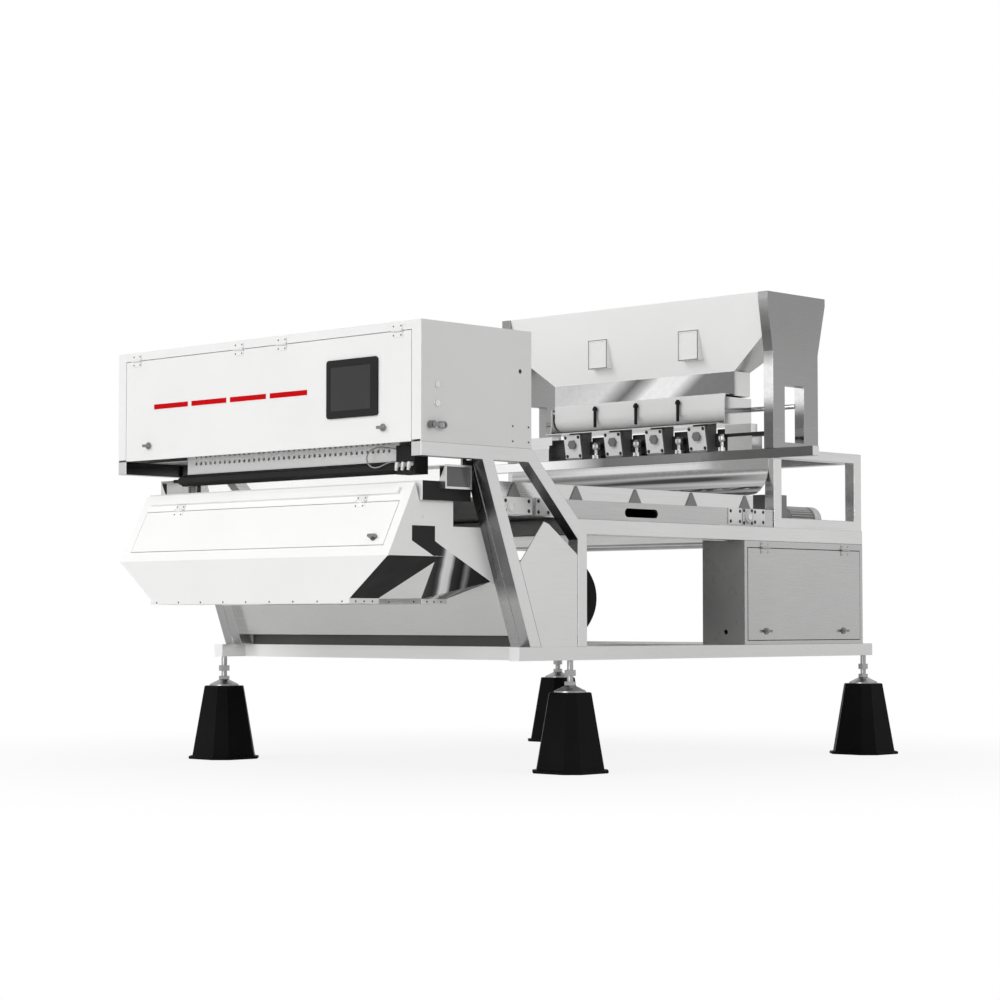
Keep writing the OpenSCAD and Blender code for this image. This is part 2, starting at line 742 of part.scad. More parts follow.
module feed_chute() color("silver") place() side(-rear_half + 34, rear_half - 34) {
  rect(rear_y0 - 4, rear_y0, beam_z - 37, beam_z);
  intersection() {
    difference() {
      translate([rear_y0 - chute_r, beam_z - 37]) circle(chute_r, $fn = 96);
      translate([rear_y0 - chute_r, beam_z - 37]) circle(chute_r - 4, $fn = 96);
    }
    rect(rear_y0 - chute_r, rear_y0, beam_z - 37 - chute_r, beam_z - 36.9);
  }
}

vib_x = [for (k = [-1.5:1.5]) k * vib_pitch];
vib_a = 10;
vib_w = 112;
arm_x0 = 1.5 * vib_pitch + 182;
arm_x1 = arm_x0 + 150;

module vibrators() color("gray") place() {
  for (x = vib_x) vibrator(x);
  buffers();
  feeder_arms();
}

module vibrator(x) translate([x, rear_y0, 0]) {
  block(-52, 52, 2, 100, beam_top, beam_top + 34);
  block(-46, 46, 16, 88, beam_top + 30, tray_z - gap);
  translate([0, 12, beam_top + 33]) rotate([vib_a, 0, 0]) {
    block(-vib_w / 2, vib_w / 2, -14, -6, -24, 97);
    block(-vib_w / 2 + 7, vib_w / 2 - 7, -7, 10, 4, 90);
    translate([4, -5, 48]) rotate([90, 0, 0]) cylinder(d = 50, h = 24, $fn = 6);
  }
}

// buffers between the vibrators, and the arms that carry the feeder's ends
module buffers() for (k = [-1:2]) translate([k * vib_pitch, rear_y0 + 22, beam_top]) rotate_extrude()
  polygon([[0, 0], [24, 0], [24, 18], [11, 22], [11, 44], [19, 47], [23, 56], [23, 72], [17, 82], [0, 84]]);

module feeder_arms() for (m = [0, 1]) mirror([m, 0, 0]) translate([0, rear_y0, beam_top]) {
  block(arm_x0, arm_x1, 6, 86, 0, 66);
  block(arm_x0 + 4, rear_in, 14, 70, 65, 84);
  block(arm_x0 - 20, rear_in - 90, 10, 60, 83, 126);
}

module feed_tray() color("silver") place() {
  block(-tray_half, tray_half, tray_y0, tray_y1, tray_z, tray_z + chute_t);
  both(tray_half - chute_t, tray_half)
    polygon([[tray_y0 + 40, tray_z], [tray_y1, tray_z], [tray_y1, neck_z - 6], [gate_y - 16, neck_z - 6]]);
  block(-tray_half, tray_half, tray_y1 - chute_t, tray_y1, tray_z, neck_z - 6);
}

module feed_gate() color("white") place() side(-gate_half, gate_half) {
  rect(gate_y, gate_y + 4, gate_z + gate_r, gate_top);
  rect(gate_y, neck_y0 - gap, gate_top - 4, gate_top);
  intersection() {
    difference() {
      translate([gate_y + gate_r, gate_z + gate_r]) circle(gate_r);
      translate([gate_y + gate_r, gate_z + gate_r]) circle(gate_r - 4);
    }
    rect(gate_y, gate_y + gate_r, gate_z, gate_z + gate_r + 0.1);
  }
}

module gate_rods() color("black") place() for (x = [-vib_pitch, 0, vib_pitch])
  translate([x, gate_y - 13 - gap, gate_z + 6]) rotate_extrude() polygon([[0, 0], [8, 0], [8, 84], [13, 86],
    [13, 96], [6, 108], [0, 108]]);

hop_in = rear_in;
flare_z = neck_top + 172;

module hopper_shape(t, e) {
  hull() {
    block(-hop_in + t, hop_in - t, rear_y0 - 39 + t, rear_y0 + 391 - t, hop_z - 1 + e, hop_z + e);
    block(-hop_in + t, hop_in - t, rear_y0 + 12 + t, rear_y0 + 285 - t, flare_z, flare_z + 1);
  }
  hull() {
    block(-hop_in + t, hop_in - t, rear_y0 + 12 + t, rear_y0 + 285 - t, flare_z, flare_z + 1);
    block(-neck_half + t, neck_half - t, neck_y0 + t, neck_y1 - t, neck_top, neck_top + 1);
  }
  block(-neck_half + t, neck_half - t, neck_y0 + t, neck_y1 - t, neck_z - e, neck_top + 1);
}

module hopper_body() color("silver") place() difference() {
  hopper_shape(0, 0);
  hopper_shape(chute_t, 1);
}

module hopper_ends() color("gainsboro") place() {
  both(rear_in, rear_half) difference() {
    polygon([[rear_y0 - 4, beam_top], [rear_y0 + 354, beam_top], [rear_y0 + 354, hop_z - 286],
      [rear_y0 + 415, hop_z - 36], [rear_y0 + 415, hop_z], [rear_y0 - 46, hop_z], [rear_y0 - 46, hop_z - 36],
      [rear_y0 - 4, hop_z - 286]]);
    rect(rear_y0 + 88, rear_y0 + 240, beam_top + 31, beam_top + 309);
  }
  bar_x(-rear_in - 2, rear_in + 2, rear_y0 + 246, beam_top + 217, 12);
}

// the outside of the hopper's front panel at a height
function panel_y(z) = z > flare_z + 1
  ? rear_y0 - 39 + 51 * (hop_z - 1 - z) / (hop_z - flare_z - 2)
  : rear_y0 + 12 + (neck_y0 - rear_y0 - 12) * (flare_z - z) / (flare_z - neck_top - 1);
win_w = 126;
win_h = 148;
win_z0 = hop_z - 221 - win_h / 2;
win_z1 = win_z0 + win_h;
win_y = panel_y(win_z1) - 8;
win_x = [-243, 357];

// upright window boxes on the sloping panel, each with a sunk pane
module sight_windows() color("gray") place() for (x = win_x) difference() {
  side(x - win_w / 2, x + win_w / 2) polygon([[win_y, win_z0], [panel_y(win_z0) - gap, win_z0],
    [panel_y(win_z1) - gap, win_z1], [win_y, win_z1]]);
  block(x - win_w / 2 + 10, x + win_w / 2 - 10, win_y - 1, win_y + 3, win_z0 + 10, win_z1 - 10);
}

// Cabinet.

module cabinet_shell() color("whitesmoke") place() difference() {
  block(cabinet_x0, half, cabinet_y0, cabinet_y1, base_top, mid_z);
  block(cabinet_x0 + sheet, half - sheet, cabinet_y0 + sheet, cabinet_y1 - sheet,
    base_top + sheet, mid_z - sheet);
  block(half - sheet - 1, half + 1, cab_door_y0 - door_gap, cab_door_y1 + door_gap, cab_door_z0 - door_gap,
    cab_door_z1);
  translate([half - 114, cabinet_y0 - 1, base_top + 59]) rotate([-90, 0, 0]) cylinder(r = 11, h = 10);
}

cab_latch_y = [cabinet_y0 + 162, cabinet_y1 - 161];

module cabinet_door() color("whitesmoke") place() {
  difference() {
    block(half - pan_t, half, cab_door_y0, cab_door_y1, cab_door_z0, cab_door_z1 - door_gap);
    block(half - pan_t - 1, half - skin, cab_door_y0 + skin, cab_door_y1 - skin, cab_door_z0 + skin,
      cab_door_z1 - door_gap - skin);
    for (y = cab_latch_y) translate([half, y, cab_latch_z]) rotate([0, 0, 90]) latch_cut();
  }
  at_cab_hinges() hinge_moving();
}

module cabinet_latch(k) translate([half + gap, cab_latch_y[k], cab_latch_z]) rotate([0, 0, 90]) latch();
module cabinet_latch_front() color("silver") place() cabinet_latch(0);
module cabinet_latch_rear() color("silver") place() cabinet_latch(1);

module cabinet_panel() color("gray") place() {
  block(cabinet_x0 + sheet, cabinet_x0 + sheet + 4, cabinet_y0 + 60, cabinet_y1 - 60,
    base_top + 40, mid_z - 40);
  for (k = [0:3]) block(cabinet_x0 + sheet + 3, cabinet_x0 + 130, cabinet_y0 + 110 + k * 190,
    cabinet_y0 + 240 + k * 190, base_top + 210, mid_z - 80);
  block(cabinet_x0 + sheet + 3, cabinet_x0 + 70, cabinet_y0 + 110, cabinet_y1 - 110,
    base_top + 80, base_top + 140);
}

// What is drawn.

base_frame();
left_side_frame();
right_side_frame();
cross_beams();
belt_pan();
rear_frame();
feeder_beam();
side_panels();
back_plate();
drip_pan();
pedestals();
foot_front_left();
foot_front_right();
foot_rear_left();
foot_rear_right();
lock_nuts();
air_tank();
head_shell();
hinge_leaves();
head_door();
touch_screen();
stripe_bars();
head_latch_left();
head_latch_right();
start_button();
stop_button();
side_lever();
perforated_plate();
ejector_bar();
valve_block();
lamp_box();
lamp_glass();
cameras();
led_bars();
front_chute();
rear_chute();
chute_divider();
hood_door();
hood_latch();
conveyor_frame();
belt_skirts();
skirt_brackets();
conveyor_belt();
front_drum();
tail_drum();
drum_bearings();
drive_motor();
feed_chute();
vibrators();
feed_tray();
feed_gate();
gate_rods();
hopper_body();
hopper_ends();
sight_windows();
cabinet_shell();
cabinet_door();
cabinet_latch_front();
cabinet_latch_rear();
cabinet_panel();
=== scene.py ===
import json
import math

import bmesh
import bpy
from mathutils import Matrix, Vector


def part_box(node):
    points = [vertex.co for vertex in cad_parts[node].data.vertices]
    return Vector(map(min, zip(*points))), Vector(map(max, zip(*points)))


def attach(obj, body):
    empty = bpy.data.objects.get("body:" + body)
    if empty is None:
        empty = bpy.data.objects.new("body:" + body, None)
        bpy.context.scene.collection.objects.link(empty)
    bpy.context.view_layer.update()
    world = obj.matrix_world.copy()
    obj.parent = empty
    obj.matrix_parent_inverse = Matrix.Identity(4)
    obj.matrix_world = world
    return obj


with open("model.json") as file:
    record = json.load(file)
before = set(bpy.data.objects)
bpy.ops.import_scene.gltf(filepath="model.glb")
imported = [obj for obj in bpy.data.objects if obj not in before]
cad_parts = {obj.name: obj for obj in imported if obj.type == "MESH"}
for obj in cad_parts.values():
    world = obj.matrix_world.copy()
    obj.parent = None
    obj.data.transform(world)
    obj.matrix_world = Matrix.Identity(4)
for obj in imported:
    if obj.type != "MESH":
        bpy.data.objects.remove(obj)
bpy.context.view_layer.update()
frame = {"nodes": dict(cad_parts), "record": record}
nodes = frame["nodes"]
scene = bpy.context.scene

# Places. Millimetres across, behind the head front and above the floor become metres in the part's frame.
HEAD_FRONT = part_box("head_shell")[0].y
HOOD_TOP = (78, 1223)
HOOD_LEAN = math.atan2(152, 302)
HOOD_OUT = Vector((0, -math.cos(HOOD_LEAN), math.sin(HOOD_LEAN)))
FRONT = (0, -1, 0)
BACK = (0, 1, 0)
RIGHT = (1, 0, 0)
SIDES = (-1, 1)


def at(x, y, z):
    return Vector((x / 1000, HEAD_FRONT + y / 1000, z / 1000))


def on_hood(x, y, z):
    """A point on the sloping hood wall: z runs up the wall, y goes inwards."""
    c = math.cos(HOOD_LEAN)
    s = math.sin(HOOD_LEAN)
    return at(x, HOOD_TOP[0] + y * c + z * s, HOOD_TOP[1] - y * s + z * c)


# Materials. Each one takes its variation from noise in the piece's own coordinates.
NOISE_LOW = 0.3
NOISE_HIGH = 0.7


def start(name):
    m = bpy.data.materials.new(name)
    m.use_nodes = True
    tree = m.node_tree
    return m, tree, tree.nodes["Principled BSDF"]


def noise(tree, scale, stretch=(1, 1, 1), detail=3.0):
    where = tree.nodes.new("ShaderNodeTexCoord")
    mapping = tree.nodes.new("ShaderNodeMapping")
    mapping.inputs["Scale"].default_value = stretch
    tex = tree.nodes.new("ShaderNodeTexNoise")
    tex.inputs["Scale"].default_value = scale
    tex.inputs["Detail"].default_value = detail
    tree.links.new(where.outputs["Object"], mapping.inputs["Vector"])
    tree.links.new(mapping.outputs["Vector"], tex.inputs["Vector"])
    return tex.outputs["Fac"]


def tint(tree, fac, dark, light, low=NOISE_LOW, high=NOISE_HIGH):
    """A colour that goes from dark to light with a noise value."""
    node = tree.nodes.new("ShaderNodeValToRGB")
    first, last = node.color_ramp.elements
    first.position = low
    first.color = (*dark, 1)
    last.position = high
    last.color = (*light, 1)
    tree.links.new(fac, node.inputs["Fac"])
    return node.outputs["Color"]


def span(tree, fac, low, high):
    """A number that goes from low to high with a noise value."""
    node = tree.nodes.new("ShaderNodeMapRange")
    node.inputs["From Min"].default_value = NOISE_LOW
    node.inputs["From Max"].default_value = NOISE_HIGH
    node.inputs["To Min"].default_value = low
    node.inputs["To Max"].default_value = high
    tree.links.new(fac, node.inputs["Value"])
    return node.outputs["Result"]


def ramp(tree, value, stops):
    """A grey that runs through (position, level) stops."""
    low, high = stops[0][0], stops[-1][0]
    part = tree.nodes.new("ShaderNodeMapRange")
    part.inputs["From Min"].default_value = low
    part.inputs["From Max"].default_value = high
    tree.links.new(value, part.inputs["Value"])
    node = tree.nodes.new("ShaderNodeValToRGB")
    marks = node.color_ramp.elements
    while len(marks) < len(stops):
        marks.new(0.5)
    for mark, (where, level) in zip(marks, stops):
        mark.position = (where - low) / (high - low)
        mark.color = (level, level, level, 1)
    tree.links.new(part.outputs["Result"], node.inputs["Fac"])
    return node.outputs["Color"]


def maths(tree, operation, *values):
    """A maths node whose inputs are sockets or numbers."""
    node = tree.nodes.new("ShaderNodeMath")
    node.operation = operation
    for socket, value in zip(node.inputs, values):
        if isinstance(value, float):
            socket.default_value = value
        else:
            tree.links.new(value, socket)
    return node.outputs[0]


def bump(tree, bsdf, height, strength, distance):
    node = tree.nodes.new("ShaderNodeBump")
    node.inputs["Strength"].default_value = strength
    node.inputs["Distance"].default_value = distance
    tree.links.new(height, node.inputs["Height"])
    tree.links.new(node.outputs["Normal"], bsdf.inputs["Normal"])


def grey(value):
    return (value, value, value * 0.995)


def paint(name, dark, light, rough, peel=0.06, gloss=0.5):
    """Paint, lacquer or plastic with a fine orange peel."""
    m, tree, bsdf = start(name)
    tree.links.new(tint(tree, noise(tree, 2.5), dark, light), bsdf.inputs["Base Color"])
    tree.links.new(span(tree, noise(tree, 14.0), rough - 0.05, rough + 0.05), bsdf.inputs["Roughness"])
    bump(tree, bsdf, noise(tree, 620.0, detail=1.0), peel, 0.0004)
    bsdf.inputs["Specular IOR Level"].default_value = gloss
    return m


def steel(name, dark, light, rough, grain=(5, 5, 420), strength=0.025, wave=0.0):
    """Brushed steel; wave adds the slow buckle of thin sheet."""
    m, tree, bsdf = start(name)
    streak = noise(tree, 1.0, grain, detail=4.0)
    tree.links.new(tint(tree, noise(tree, 1.3), dark, light), bsdf.inputs["Base Color"])
    tree.links.new(span(tree, streak, rough - 0.04, rough + 0.04), bsdf.inputs["Roughness"])
    height = streak
    if wave:
        height = maths(tree, "MULTIPLY_ADD", noise(tree, 3.0, (1, 1, 0.6), detail=1.0), wave, streak)
    bump(tree, bsdf, height, strength, 0.0005)
    bsdf.inputs["Metallic"].default_value = 1.0
    return m


def streaked_reflection(name, dark, light, along):
    """Mirror steel with painted reflections: dark and bright streaks across one direction."""
    m, tree, bsdf = start(name)
    streak = noise(tree, 1.0, along, 1.0)
    tree.links.new(tint(tree, streak, dark, light, 0.38, 0.6), bsdf.inputs["Base Color"])
    tree.links.new(span(tree, noise(tree, 40.0), 0.08, 0.16), bsdf.inputs["Roughness"])
    bsdf.inputs["Metallic"].default_value = 1.0
    return m


def banded_reflection(name, along, stops, wander=0.012, rough=0.08):
    """Bright steel with painted reflections and shade: bands across one direction, which wander a little."""
    m, tree, bsdf = start(name)
    where = tree.nodes.new("ShaderNodeTexCoord")
    across = tree.nodes.new("ShaderNodeVectorMath")
    across.operation = "DOT_PRODUCT"
    across.inputs[1].default_value = along
    tree.links.new(where.outputs["Object"], across.inputs[0])
    shift = maths(tree, "MULTIPLY_ADD", noise(tree, 6.0), wander, across.outputs["Value"])
    tree.links.new(ramp(tree, shift, stops), bsdf.inputs["Base Color"])
    tree.links.new(span(tree, noise(tree, 40.0), rough, rough + 0.08), bsdf.inputs["Roughness"])
    bsdf.inputs["Metallic"].default_value = 1.0
    return m


def belt_weave(name):
    m, tree, bsdf = start(name)
    where = tree.nodes.new("ShaderNodeTexCoord")
    weave = tree.nodes.new("ShaderNodeTexChecker")
    weave.inputs["Scale"].default_value = 420.0
    tree.links.new(where.outputs["Object"], weave.inputs["Vector"])
    tree.links.new(tint(tree, noise(tree, 6.0), grey(0.52), grey(0.6)), bsdf.inputs["Base Color"])
    tree.links.new(span(tree, noise(tree, 30.0), 0.55, 0.7), bsdf.inputs["Roughness"])
    bump(tree, bsdf, weave.outputs["Fac"], 0.3, 0.0006)
    return m


def glass(name):
    m, tree, bsdf = start(name)
    tree.links.new(tint(tree, noise(tree, 3.0), grey(0.96), grey(0.99)), bsdf.inputs["Base Color"])
    tree.links.new(span(tree, noise(tree, 9.0), 0.03, 0.08), bsdf.inputs["Roughness"])
    bsdf.inputs["Transmission Weight"].default_value = 1.0
    bsdf.inputs["IOR"].default_value = 1.15
    return m


# One material for each slot of the record.
RED_DARK = (0.53, 0.002, 0.005)
RED_LIGHT = (0.6, 0.003, 0.007)
MATERIALS = {
    "white_paint": paint("white_paint", grey(0.825), grey(0.85), 0.4, gloss=0.3),
    "satin_steel": steel("satin_steel", grey(0.66), grey(0.71), 0.24),
    "polished_steel": steel("polished_steel", grey(0.55), grey(0.66), 0.11, wave=900.0),
    "black_paint": paint("black_paint", grey(0.011), grey(0.018), 0.4, gloss=0.2),
    "black_plastic": paint("black_plastic", grey(0.009), grey(0.014), 0.5, peel=0.2, gloss=0.15),
    "grey_paint": paint("grey_paint", grey(0.2), grey(0.25), 0.4, gloss=0.3),
    "red_plastic": paint("red_plastic", RED_DARK, RED_LIGHT, 0.35, peel=0.02, gloss=0.03),
    "screen": paint("screen", grey(0.01), grey(0.014), 0.35, peel=0.08, gloss=0.2),
    "belt": belt_weave("belt"),
    "clear_glass": glass("clear_glass"),
    "cast_grey": paint("cast_grey", grey(0.62), grey(0.7), 0.45, peel=0.3),
    "bright_metal": steel("bright_metal", grey(0.68), grey(0.76), 0.18, (120, 120, 120), 0.03),
}
white = MATERIALS["white_paint"]
satin = MATERIALS["satin_steel"]
bright = MATERIALS["bright_metal"]

# Finishes of small pieces and of single faces. Several of them paint light, shade or reflections into a
# colour, as marked below.
DISPLAY = paint("display_pane", grey(0.034), grey(0.039), 0.15, peel=0.0, gloss=0.2)
FITTING = paint("fitting_plastic", grey(0.78), grey(0.86), 0.3, peel=0.03)
AIR_TUBE = paint("air_tube", grey(0.32), grey(0.4), 0.25, peel=0.02)
DARK_BOLT = paint("dark_bolt", grey(0.03), grey(0.05), 0.35, peel=0.1)
COIL = paint("coil_lacquer", grey(0.012), grey(0.03), 0.35, peel=0.1)
DARK_STEEL = steel("dark_steel", grey(0.24), grey(0.3), 0.28)
# Painted reflection: near black for the front funnel's down-facing sides, in place of the dark they reflect.
FUNNEL_DARK_REFLECTION = paint("funnel_dark_reflection", grey(0.012), grey(0.016), 0.45, gloss=0.15)
PLATE = paint("zinc_plate", grey(0.84), grey(0.9), 0.35, peel=0.1)
FROSTED = paint("frosted_window", grey(0.86), grey(0.9), 0.3, peel=0.0)
SHADE_STEEL = steel("shade_steel", grey(0.36), grey(0.42), 0.3)
REAR_STEEL = steel("rear_steel", grey(0.5), grey(0.55), 0.26)
DEEP_BLACK = paint("deep_black", grey(0.003), grey(0.006), 0.45, gloss=0.06)
# Painted reflection: near-black mirror steel for the inner faces of the head rails.
RAIL_DARK_REFLECTION = steel("rail_dark_reflection", grey(0.02), grey(0.06), 0.14)
# Painted reflection: a matt grey for the cabinet's front faces, in place of the steel's own reflection.
CABINET_FRONT_REFLECTION = paint("cabinet_front_reflection", grey(0.24), grey(0.32), 0.3)
# Painted light: a brighter copy of the white paint, for the hood, the hopper front, the base rail front and
# the perforated plate.
PAINTED_LIGHT_WHITE = paint("painted_light_white", grey(0.93), grey(0.96), 0.4, gloss=0.3)
# Painted shade: a greyer copy of the white paint, for the head's side faces.
SIDE_PAINTED_SHADE = paint("side_painted_shade", grey(0.72), grey(0.745), 0.4, gloss=0.3)
PANE = paint("housing_pane", grey(0.09), grey(0.13), 0.12, peel=0.0)
# Painted reflection: streaks on the back of the rear funnel.
FUNNEL_BACK_REFLECTION = streaked_reflection("funnel_back_reflection", grey(0.8), grey(0.92), (2.2, 3, 3))
# Painted reflection: dark and bright streaks on the feed chute.
CHUTE_REFLECTION = streaked_reflection("chute_reflection", grey(0.06), grey(0.7), (0.5, 16, 20))
# Painted reflection: the feeder beam's front runs from bright at the left to dark at the right.
BEAM_REFLECTION = banded_reflection("beam_reflection", (1, 0, 0), ((-0.62, 0.9), (-0.45, 0.75), (-0.2, 0.16), (0.6, 0.25)))
# Painted reflection: bright and dark bands across the hopper's neck.
NECK_REFLECTION = banded_reflection("neck_reflection", (1, 0, -1.33), (
    (-2.95, 0.6), (-2.667, 0.7), (-2.509, 0.16), (-2.42, 0.5), (-2.36, 0.88), (-2.19, 0.88), (-2.07, 0.22),
    (-1.76, 0.2)))
# Painted light and shade: bands up the front of the right hopper end's post.
END_POST_PAINTED_LIGHT = banded_reflection("end_post_painted_light", (0, 0, 1), (
    (1.5, 0.27), (1.66, 0.27), (1.74, 0.9), (1.88, 0.95), (1.95, 0.4), (2.05, 0.3), (2.2, 0.6)))
# Painted reflection: dark and light bands up the legs' down-facing fronts.
LEG_PAINTED_REFLECTION = banded_reflection("leg_painted_reflection", (0, 0, 1), (
    (0.55, 0.45), (0.74, 0.5), (0.81, 0.2), (1.0, 0.2), (1.06, 0.26), (1.3, 0.22)), rough=0.26)
# Painted reflection: dark bands and bright streaks on the rear funnel's sloping end faces.
FUNNEL_END_REFLECTION = banded_reflection("funnel_end_reflection", (0, 1, 0.645), (
    (-0.76, 0.12), (-0.71, 0.04), (-0.698, 0.12), (-0.685, 0.95), (-0.664, 0.9), (-0.65, 0.05), (-0.62, 0.02),
    (-0.605, 0.3), (-0.59, 0.03), (-0.5, 0.02)))

slot_of = {row["node"]: row["material_slot"] for row in frame["record"]["subparts"]}
for name, obj in nodes.items():
    obj.data.materials.clear()
    obj.data.materials.append(MATERIALS[slot_of[name]])

# Nodes with one finish that isn't their slot's. The hood door's finish is painted light, a brighter copy of
# the white paint, and the feed chute's finish is painted reflection streaks.
FINISH = {
    "hopper_ends": SHADE_STEEL, "conveyor_frame": REAR_STEEL, "cabinet_shell": REAR_STEEL,
    "cabinet_door": REAR_STEEL, "pedestals": DEEP_BLACK, "air_tank": DEEP_BLACK, "lock_nuts": SHADE_STEEL,
    "side_lever": DARK_STEEL, "sight_windows": FROSTED, "hood_door": PAINTED_LIGHT_WHITE, "feed_chute": CHUTE_REFLECTION,
    "feed_tray": MATERIALS["polished_steel"],
}
for name in nodes:
    if name.startswith("foot_"):
        FINISH[name] = SHADE_STEEL
    if "_latch" in name:
        FINISH[name] = DARK_STEEL
for name, finish in FINISH.items():
    nodes[name].data.materials[0] = finish

# Places that tell the faces of a node apart, in metres.
NECK_TOP = 1.877
KNEE = 0.921
RAIL_Z = 1.32
RAIL_FRONT = HEAD_FRONT + 0.73
TAIL_PLATE = (HEAD_FRONT + 2.23, HEAD_FRONT + 2.31)
NUT_FRONT = HEAD_FRONT + 2.458
CABINET_HINGE_X = 0.99
HOUSING_END = 0.899
HOUSING_PANE = (0.925, 0.935)
ARM_X = 0.57
# These heights bound a black band of painted shade on the right feeder arm.
ARM_PAINTED_SHADE = (1.549, 1.567)

# The vibrators' tilt and the way they face. Their pitch and a buffer's half width are in millimetres.
VIB_TILT = math.radians(10)
VIB_OUT = Vector((0, -math.cos(VIB_TILT), -math.sin(VIB_TILT)))
VIB_PITCH = 276
BUFFER_HALF = 25


def shade(name, material, test):
    """Gives a finish of its own to the faces of a node whose normal and centre pass a test. Many calls below
    use it to paint light, shade or reflections onto faces.
    """
    mesh = nodes[name].data
    mesh.materials.append(material)
    index = len(mesh.materials) - 1
    for poly in mesh.polygons:
        if test(poly.normal, poly.center):
            poly.material_index = index


def to_front(n, least=0.9):
    return n.y < -least


def between_vibrators(c):
    """True halfway between two vibrators, where the buffers stand."""
    return abs((c.x * 1000 + VIB_PITCH / 2) % VIB_PITCH - VIB_PITCH / 2) < BUFFER_HALF


# Painted shade: the head's sides get the greyer copy of its white paint.
shade("head_shell", SIDE_PAINTED_SHADE, lambda n, c: abs(n.x) > 0.9)
# Painted light: the perforated plate's front stands in the head's shade and gets the brighter white.
shade("perforated_plate", PAINTED_LIGHT_WHITE, lambda n, c: to_front(n))
shade("lamp_box", white, lambda n, c: to_front(n) or n.z > 0.9)
shade("lamp_glass", satin, lambda n, c: abs(c.x) > HOUSING_END)
shade("lamp_glass", PANE, lambda n, c: abs(n.x) > 0.9 and HOUSING_PANE[0] < abs(c.x) < HOUSING_PANE[1])
# Painted light: the hood's front slope gets the brighter white.
shade("front_chute", PAINTED_LIGHT_WHITE, lambda n, c: n.dot(HOOD_OUT) > 0.98)
# Painted reflection: the front funnel's down-facing sides are near black.
shade("front_chute", FUNNEL_DARK_REFLECTION, lambda n, c: abs(n.x) > 0.3 and n.z < -0.2 and c.z < KNEE)
shade("rear_chute", white, lambda n, c: abs(n.x) > 0.95)
# Painted reflection: the bands on the rear funnel's sloping end faces.
shade("rear_chute", FUNNEL_END_REFLECTION, lambda n, c: 0.2 < abs(n.x) < 0.95)
# Painted reflection: streaks on the rear funnel's back faces.
shade("rear_chute", FUNNEL_BACK_REFLECTION, lambda n, c: abs(n.x) < 0.2 and to_front(n, 0.3))
shade("hinge_leaves", white, lambda n, c: True)
shade("hinge_leaves", REAR_STEEL, lambda n, c: c.x > CABINET_HINGE_X)
for side_frame in ("left_side_frame", "right_side_frame"):
    # Painted reflection: bands up the down-facing fronts of the legs.
    shade(side_frame, LEG_PAINTED_REFLECTION, lambda n, c: to_front(n, 0.6) and n.z < -0.2)
    # Painted reflection: the inner faces of the head rails get the near-black steel.
    shade(side_frame, RAIL_DARK_REFLECTION, lambda n, c: n.x * c.x < -0.8 and c.z > RAIL_Z)
# Painted light: the base rail's front is shaded by the hood and gets the brighter white.
shade("base_frame", PAINTED_LIGHT_WHITE, lambda n, c: to_front(n) and c.y < RAIL_FRONT)
shade("drip_pan", DARK_BOLT, lambda n, c: to_front(n))
# Painted reflection: the cabinet's front faces get a matt grey in place of the steel's reflection.
shade("cabinet_shell", CABINET_FRONT_REFLECTION, lambda n, c: to_front(n))
shade("drum_bearings", white, lambda n, c: not TAIL_PLATE[0] < c.y < TAIL_PLATE[1])
# Painted light: the hopper's front above the neck gets the brighter white.
shade("hopper_body", PAINTED_LIGHT_WHITE, lambda n, c: to_front(n, 0.8) and c.z > NECK_TOP)
# Painted reflection: the bands on the hopper's neck.
shade("hopper_body", NECK_REFLECTION, lambda n, c: to_front(n, 0.8) and c.z < NECK_TOP)
# Painted light and shade: the bands on the right hopper end's post front.
shade("hopper_ends", END_POST_PAINTED_LIGHT, lambda n, c: to_front(n) and c.x > 0)
# Painted reflection: the bands on the feeder beam's front.
shade("feeder_beam", BEAM_REFLECTION, lambda n, c: to_front(n))
shade("vibrators", PLATE, lambda n, c: n.dot(VIB_OUT) > 0.99)
shade("vibrators", MATERIALS["grey_paint"], lambda n, c: n.dot(VIB_OUT) > 0.99 and c.y < NUT_FRONT)
shade("vibrators", bright, lambda n, c: abs(c.x) > ARM_X or between_vibrators(c))
# Painted shade: a black band on the right feeder arm, between its lower and upper blocks.
shade("vibrators", MATERIALS["black_paint"], lambda n, c: c.x > ARM_X and ARM_PAINTED_SHADE[0] < c.z < ARM_PAINTED_SHADE[1])
shade("vibrators", satin, lambda n, c: abs(c.x) > ARM_X and c.z < ARM_PAINTED_SHADE[0])

# Tube and sheet corners get a small round, in millimetres, so that they catch the light.
ROUND = {
    "base_frame": 3.0, "left_side_frame": 3.0, "right_side_frame": 3.0, "rear_frame": 3.0, "feeder_beam": 3.0,
    "cross_beams": 3.0, "hopper_ends": 2.5, "cabinet_shell": 2.0, "pedestals": 4.0,
}
WELD_GAP = 0.00005
FLAT_ANGLE = math.radians(0.5)
EDGE_ANGLE = math.radians(50)
for name, radius in ROUND.items():
    obj = nodes[name]
    weld = obj.modifiers.new("weld", "WELD")
    weld.merge_threshold = WELD_GAP
    flat = obj.modifiers.new("flat", "DECIMATE")
    flat.decimate_type = "DISSOLVE"
    flat.angle_limit = FLAT_ANGLE
    flat.delimit = {"MATERIAL"}
    edge = obj.modifiers.new("edge", "BEVEL")
    edge.width = radius / 1000
    edge.segments = 2
    edge.limit_method = "ANGLE"
    edge.angle_limit = EDGE_ANGLE
    edge.harden_normals = True
    edge.use_clamp_overlap = True


# Small pieces.
def add(name, data, body):
    obj = bpy.data.objects.new(name, data)
    scene.collection.objects.link(obj)
    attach(obj, body)
    return obj


